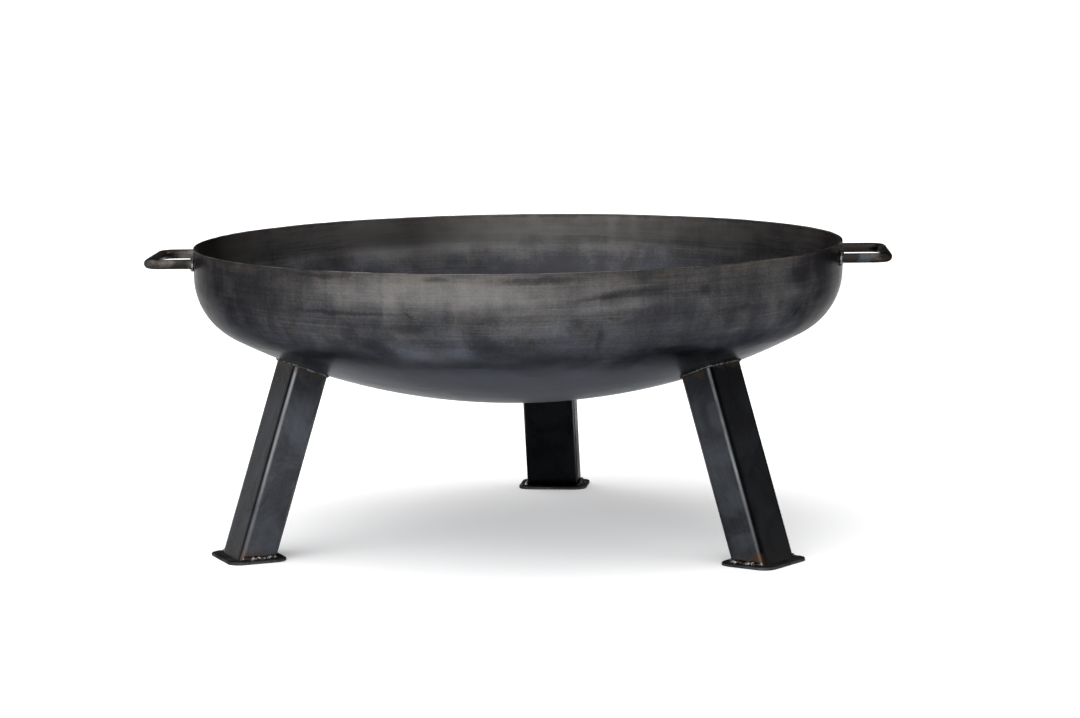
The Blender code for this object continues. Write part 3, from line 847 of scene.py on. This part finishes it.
def add_bowl():
    """The dished sheet as one closed shell: inside, lip and outside, each with its own steel."""
    outside = bowl_profile(0.0)
    inside = list(reversed(bowl_profile(-BOWL_WALL)))
    lip_out = arc((BOWL_RADIUS - LIP, RIM_HEIGHT - LIP), LIP, math.pi / 2, 0.0, LIP_STEPS)[:-1]
    lip_middle = (BOWL_RADIUS - BOWL_WALL + LIP, RIM_HEIGHT - LIP)
    lip_in = arc(lip_middle, LIP, math.pi, math.pi / 2, LIP_STEPS)[1:]
    profile = inside + lip_in + lip_out + outside
    vertices = []
    for radius, height in profile:
        for step in range(BOWL_STEPS):
            angle = 2 * math.pi * step / BOWL_STEPS
            where = Vector((math.cos(angle) * radius, math.sin(angle) * radius, height))
            dent = WAVINESS * (0.5 + 0.5 * noise.noise(where * 9.0))
            share = min(1.0, radius / KNUCKLE_CENTRE_RADIUS)
            nick = 0.0
            if height > RIM_HEIGHT - LIP:
                nick = RIM_NICK * (1 + noise.noise(where * 60.0))
            vertices.append(where * (1 - share * dent / BOWL_RADIUS) - Vector((0, 0, nick)))
    faces = ring_faces(len(profile), BOWL_STEPS)
    inner_pole = len(vertices)
    vertices.append(Vector((0.0, 0.0, BOWL_LOW.z + BOWL_WALL)))
    outer_pole = len(vertices)
    vertices.append(Vector((0.0, 0.0, BOWL_LOW.z)))
    last = (len(profile) - 1) * BOWL_STEPS
    for step in range(BOWL_STEPS):
        after = (step + 1) % BOWL_STEPS
        faces.append((inner_pole, after, step))
        faces.append((outer_pole, last + step, last + after))
    faces = [tuple(reversed(face)) for face in faces]
    bowl = new_piece("bowl_shell", vertices, faces, sharp_angle=80.0)
    lip_start = len(inside)
    lip_end = len(profile) - len(outside)
    materials = (
        bowl_material("bowl_outside_steel", -1, OUTSIDE_MARKS_AND_PAINTED_LIGHT, OUTSIDE_LEVEL, OUTSIDE_PAINTED_REFLECTION_FADES, OUTSIDE_HEAT),
        bowl_material("bowl_inside_steel", 1, INSIDE_MARKS_AND_PAINTED_LIGHT, INSIDE_LEVEL, INSIDE_PAINTED_SHADE_FADES, INSIDE_HEAT),
        rim_material(),
    )
    finish_piece(bowl, "fire_bowl", ["bowl"], materials)
    for polygon in bowl.data.polygons:
        ring = min(polygon.vertices) // BOWL_STEPS
        if ring < lip_start:
            polygon.material_index = 1
        elif ring < lip_end:
            polygon.material_index = 2


# ---------------------------------------------------------------- legs

def add_leg_tube(side):
    """A closed skin over the tube's outside and inside, level at the foot and fitted to the crown."""
    outer = rounded_outline(LEG_DEPTH, LEG_WIDTH, LEG_CORNER, side_steps=FACE_STEPS)
    wall = 2 * LEG_WALL
    inner_corner = LEG_CORNER - LEG_WALL
    inner = rounded_outline(LEG_DEPTH - wall, LEG_WIDTH - wall, inner_corner, side_steps=FACE_STEPS)
    rings = []
    for share in range(LEG_RINGS + 1):
        rings.append((outer, share / LEG_RINGS))
    for share in range(LEG_RINGS, -1, -LEG_RINGS // LEG_INNER_RINGS):
        rings.append((inner, share / LEG_RINGS))
    vertices = []
    for outline, share in rings:
        for x, y in outline:
            low = along_leg_to_plane(x, y, FOOT_THICKNESS)
            high = along_leg_to_crown(x, y, 0.0)
            hollow = LEG_HOLLOW * max(0.0, 1 - (2 * y / LEG_WIDTH) ** 2) * (1 if x > 0 else -1)
            vertices.append((x - hollow, y, low + (high - low) * share))
    faces = ring_faces(len(rings), len(outer), closed=True)
    tube = new_piece(f"leg_tube_{side}_steel", vertices, faces, leg_matrix(azimuth_of(side)), 50.0)
    finish_piece(tube, "fire_bowl", ["leg_tube_" + side], [leg_material(side)])


def add_foot_plate(side, material):
    """The plate: a rounded flat with eased edges."""
    levels = (
        (PLATE_EASE, 0.0),
        (0.0, PLATE_EASE),
        (0.0, FOOT_THICKNESS / 2),
        (0.0, FOOT_THICKNESS - PLATE_EASE),
        (PLATE_EASE, FOOT_THICKNESS),
        (PLATE_TOP_INSET, FOOT_THICKNESS),
    )
    vertices = []
    for inset, height in levels:
        depth = FOOT_DEPTH - 2 * inset
        width = FOOT_WIDTH - 2 * inset
        outline = rounded_outline(depth, width, FOOT_CORNER - inset, PLATE_CORNER_STEPS, PLATE_SIDE_STEPS)
        vertices += [(x, y, height) for x, y in outline]
    size = len(outline)
    faces = ring_faces(len(levels), size)
    faces.append(tuple(reversed(range(size))))
    faces.append(tuple(range((len(levels) - 1) * size, len(levels) * size)))
    place = Matrix.Rotation(azimuth_of(side), 4, "Z") @ Matrix.Translation((LEG_FOOT_RADIUS, 0.0, 0.0))
    plate = new_piece(f"foot_plate_{side}_steel", vertices, faces, place, 35.0)
    finish_piece(plate, "fire_bowl", ["foot_plate_" + side], [material])


# ---------------------------------------------------------------- welds

def bead(path, up, sizes, seed, closed):
    """A weld bead: overlapping round ripples along a path, each a little different."""
    radius, pitch, ragged = sizes
    spacing = pitch / BEAD_STEPS
    points = resample(path, spacing, closed)
    count = len(points)

    def reach(index, angle):
        lag = RIPPLE_LAG * math.cos(angle) ** 2
        phase = (index / BEAD_STEPS + lag) % 1.0
        number = math.floor(index / BEAD_STEPS + lag)
        lump = noise.noise(Vector((number * 0.63 + seed, math.cos(angle) * 0.6, math.sin(angle) * 0.6)))
        size = radius * (1 + 2.0 * ragged * lump - RIPPLE_DIP * phase)
        if not closed:
            end = min(index, count - 1 - index) * spacing / radius
            size *= math.sqrt(max(0.02, 1 - max(0.0, 1 - end) ** 2))
        return size

    return sweep(points, up, BEAD_SIDES, reach, closed)


def add_leg_weld(side, material):
    """A bead round the top of the tube, where it meets the bowl's crown."""
    away, *sizes = LEG_BEAD
    outline = rounded_outline(LEG_DEPTH + 2 * away, LEG_WIDTH + 2 * away, LEG_CORNER + away)
    path = [Vector((x, y, along_leg_to_crown(x, y, away))) for x, y in outline]
    vertices, faces = bead(path, Vector((0, 0, -1)), sizes, LEG_SEEDS[side], True)
    weld = new_piece(f"leg_weld_{side}_bead", vertices, faces, leg_matrix(azimuth_of(side)))
    finish_piece(weld, "fire_bowl", ["leg_weld_" + side], [material])


def add_foot_weld(side, label, edge, material):
    """A rough bead along a narrow side of the tube, with a few drops of spatter beside it."""
    away, *sizes = FOOT_BEAD
    seed = LEG_SEEDS[side] + 20 * edge
    path = []
    for end in (-1, 1):
        x = end * (LEG_DEPTH / 2 - 0.001)
        y = edge * (LEG_WIDTH / 2 + away)
        path.append(Vector((x, y, along_leg_to_plane(x, y, FOOT_THICKNESS + away))))
    parts = [bead(path, Vector((0, edge, 0)), sizes, seed, False)]
    chance = random.Random(f"{side} {label}")
    for _ in range(SPATTER_COUNT):
        x = chance.uniform(-0.5, 0.5) * LEG_DEPTH
        y = edge * (LEG_WIDTH / 2 + chance.uniform(*SPATTER_REACH))
        spot = Vector((x, y, along_leg_to_plane(x, y, FOOT_THICKNESS)))
        parts.append(blob(spot, chance.uniform(*SPATTER_RADII), 0.7, Vector((0.3, 0, 1)), seed))
    weld = new_piece(f"foot_weld_{side}_{label}_bead", *join(parts), leg_matrix(azimuth_of(side)))
    finish_piece(weld, "fire_bowl", [f"foot_weld_{side}_{label}"], [material])


# ---------------------------------------------------------------- handles

def u_path(reach, width, bend, start):
    """A flat U of that width, out from start to reach along X, with bends of that radius."""
    corner_x = reach - bend
    corner_y = width / 2 - bend
    points = [(start, -width / 2)]
    points += arc((corner_x, -corner_y), bend, -math.pi / 2, 0.0, BEND_STEPS)
    points += arc((corner_x, corner_y), bend, 0.0, math.pi / 2, BEND_STEPS)
    points.append((start, width / 2))
    return points


def add_handle(side, turn, material, weld_metal):
    """A round bar bent to a flat U, faintly uneven, with its ends welded to the flange."""
    reach = HANDLE_HIGH.x - HANDLE_BAR / 2
    wall = math.sqrt(BOWL_RADIUS**2 - (HANDLE_WIDTH / 2) ** 2)
    path = u_path(reach, HANDLE_WIDTH, HANDLE_BEND, wall - 0.001)
    points = resample(path, BEND_SPACING, False)

    def radius(index, angle):
        dent = 0.5 + 0.5 * noise.noise(Vector((index * 0.12, math.cos(angle), math.sin(angle))))
        return HANDLE_BAR / 2 * (1 - HANDLE_DENT * dent)

    vertices, faces = sweep(points, Vector((0, 0, 1)), HANDLE_SIDES, radius, False)
    place = Matrix.Rotation(turn, 4, "Z") @ Matrix.Translation((0, 0, HANDLE_Z))
    handle = new_piece(f"handle_{side}_bar", vertices, faces, place)
    finish_piece(handle, "fire_bowl", ["handle_" + side], [material])
    away, *sizes = HANDLE_BEAD
    ring = HANDLE_BAR / 2 + HANDLE_BEAD_GAP
    for end, sign in (("front", -1), ("back", 1)):
        centre = sign * math.cos(turn) * HANDLE_WIDTH / 2
        path = []
        for step in range(HANDLE_BEAD_STEPS):
            angle = 2 * math.pi * step / HANDLE_BEAD_STEPS
            y = centre + ring * math.cos(angle)
            x = math.sqrt((BOWL_RADIUS + away) ** 2 - y * y)
            path.append(Vector((x, y, ring * math.sin(angle))))
        vertices, faces = bead(path, Vector((1, 0, 0)), sizes, sign * 3 + turn, True)
        weld = new_piece(f"handle_weld_{side}_{end}_bead", vertices, faces, place)
        finish_piece(weld, "fire_bowl", [f"handle_weld_{side}_{end}"], [weld_metal])


# ---------------------------------------------------------------- grate

def add_round(node, points, up, radius, closed, material, extras=()):
    """A faintly lumpy round bar along points, with its tack welds, as the piece for that node."""
    def reach(index, angle):
        lump = noise.noise(Vector((index * 0.11, math.cos(angle), math.sin(angle))))
        return radius * (1 + ROD_LUMP * lump)

    rod = sweep(points, up, ROD_SIDES, reach, closed)
    piece = new_piece(node + "_rod", *join([rod, *extras]))
    finish_piece(piece, "grate", [node], [material])


def add_grate_bar(node, material):
    """A straight bar with a flattened tack weld at each end and at each cross bar."""
    low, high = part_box(node)
    middle = box_middle(node)
    radius = (high.z - low.z) / 2
    ends = [Vector((middle.x, low.y, middle.z)), Vector((middle.x, high.y, middle.z))]
    places = [low.y + TACK_INSET, high.y - TACK_INSET]
    places += [box_middle(name).y for name in CROSS_BARS]
    tacks = []
    for number, y in enumerate(places):
        for side in (-1, 1):
            spot = Vector((middle.x + side * radius * 0.75, y, middle.z - radius * 0.9))
            seed = middle.x * 50 + number * 3 + side
            tacks.append(blob(spot, TACK_RADIUS, 0.8, Vector((side, 0, 0.4)), seed))
    points = resample(ends, ROD_SPACING, False)
    add_round(node, points, Vector((0, 0, 1)), radius, False, material, tacks)


def add_grate(material):
    """The lift-out grate: ring, bars, two cross bars and two lifting loops."""
    circle = []
    for step in range(RING_STEPS):
        angle = 2 * math.pi * step / RING_STEPS
        circle.append(Vector((RING_RADIUS * math.cos(angle), RING_RADIUS * math.sin(angle), RING_Z)))
    add_round("grate_ring", circle, Vector((0, 0, 1)), RING_BAR / 2, True, material)
    for node in sorted(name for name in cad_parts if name.startswith("grate_bar_")):
        add_grate_bar(node, material)
    for node in CROSS_BARS:
        low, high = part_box(node)
        middle = box_middle(node)
        ends = [Vector((low.x, middle.y, middle.z)), Vector((high.x, middle.y, middle.z))]
        points = resample(ends, ROD_SPACING, False)
        add_round(node, points, Vector((0, 0, 1)), (high.z - low.z) / 2, False, material)
    for side in ("left", "right"):
        node = "grate_loop_" + side
        low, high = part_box(node)
        x = box_middle(node).x
        flat = u_path(high.z - low.z - LOOP_BAR / 2, LOOP_WIDTH, LOOP_BEND, 0.0)
        points = resample([Vector((x, y, low.z + up)) for up, y in flat], BEND_SPACING, False)
        tacks = []
        for sign in (-1, 1):
            foot = Vector((x, sign * LOOP_WIDTH / 2, low.z))
            tacks.append(blob(foot, LOOP_TACK_RADIUS, 0.45, Vector((0, 0, 1)), sign + x))
        add_round(node, points, Vector((1, 0, 0)), LOOP_BAR / 2, False, material, tacks)


# ---------------------------------------------------------------- studio

FLOOR_REACH = 60.0
# The floor's faint glow is painted light: it lightens the shadow under the bowl
FLOOR_GLOW = 0.22
FLOOR_ROUGHNESS = 0.9
FLOOR_SHINE = 0.1


def add_floor():
    """A plain pale floor out to the horizon."""
    reach = FLOOR_REACH
    corners = [(-reach, -reach, 0), (reach, -reach, 0), (reach, reach, 0), (-reach, reach, 0)]
    floor = new_piece("studio_floor", corners, [(0, 1, 2, 3)])
    graph = Graph("studio_floor_paint", metallic=0.0)
    specks = graph.noise(graph.place, *FLOOR_SPECKS)
    graph.shader.inputs["Specular IOR Level"].default_value = FLOOR_SHINE
    graph.shader.inputs["Emission Color"].default_value = (1.0, 1.0, 1.0, 1.0)
    graph.shader.inputs["Emission Strength"].default_value = FLOOR_GLOW
    colour = graph.mix(specks, FLOOR_DARK, FLOOR_LIGHT)
    floor.data.materials.append(graph.finish(colour, FLOOR_ROUGHNESS))


# Soft lights round the object: direction, brightness, and the cosines where it starts and is full
SKY_BASE = 0.06
SKY_LIGHTS = (
    ((-0.15, -0.15, 0.95), 2.10, 0.60, 0.90),
    ((-0.34, -0.93, 0.08), 2.60, 0.50, 0.95),
    ((-0.70, 0.70, 0.12), 0.90, 0.80, 0.97),
    ((-0.85, 0.00, 0.52), 0.80, 0.60, 0.95),
    ((0.90, -0.05, 0.32), 1.00, 0.55, 0.95),
)


def add_sky():
    """Soft studio light: a bright ceiling, a large light in front, weaker ones behind and at the sides."""
    world = bpy.data.worlds.new("studio")
    bpy.context.scene.world = world
    world.use_nodes = True
    graph = Nodes(world.node_tree)
    direction = graph.tree.nodes.new("ShaderNodeTexCoord").outputs["Generated"]
    level = SKY_BASE
    for middle, brightness, start, full in SKY_LIGHTS:
        cosine = graph.vector("DOT_PRODUCT", direction, tuple(Vector(middle).normalized()))
        level = graph.math("ADD", level, graph.span(cosine, start, full, 0.0, brightness))
    background = world.node_tree.nodes["Background"]
    graph.put(level, background.inputs["Strength"])
    background.inputs["Color"].default_value = (1.0, 1.0, 1.0, 1.0)


def add_camera():
    data = bpy.data.cameras.new("camera")
    data.lens = CAMERA_LENS
    data.sensor_width = CAMERA_SENSOR
    data.clip_end = CAMERA_CLIP
    camera = bpy.data.objects.new("camera", data)
    bpy.context.scene.collection.objects.link(camera)
    turn = Matrix.Rotation(CAMERA_AZIMUTH, 4, "Z")
    place = turn @ Matrix.Translation((0.0, -CAMERA_DISTANCE, CAMERA_HEIGHT))
    aim = Matrix.Rotation(-CAMERA_YAW, 4, "Z") @ Matrix.Rotation(math.pi / 2 - CAMERA_PITCH, 4, "X")
    camera.matrix_world = place @ aim @ Matrix.Rotation(CAMERA_ROLL, 4, "Z")
    bpy.context.scene.camera = camera


# ---------------------------------------------------------------- build

add_camera()
add_floor()
add_sky()
bpy.context.scene.view_settings.view_transform = "Standard"

add_bowl()
foot_steel = foot_material()
bright_weld = weld_material("weld_metal_bright", WELD_BRIGHT)
dull_weld = weld_material("weld_metal_dull", WELD_DULL)
for leg_side in SIDES:
    add_leg_tube(leg_side)
    add_foot_plate(leg_side, foot_steel)
    add_leg_weld(leg_side, dull_weld)
    add_foot_weld(leg_side, "a", -1, bright_weld)
    add_foot_weld(leg_side, "b", 1, bright_weld)
handle_steel = handle_material()
handle_weld = weld_material("weld_metal_handle", WELD_HANDLE)
add_handle("right", 0.0, handle_steel, handle_weld)
add_handle("left", math.pi, handle_steel, handle_weld)
add_grate(grate_material())
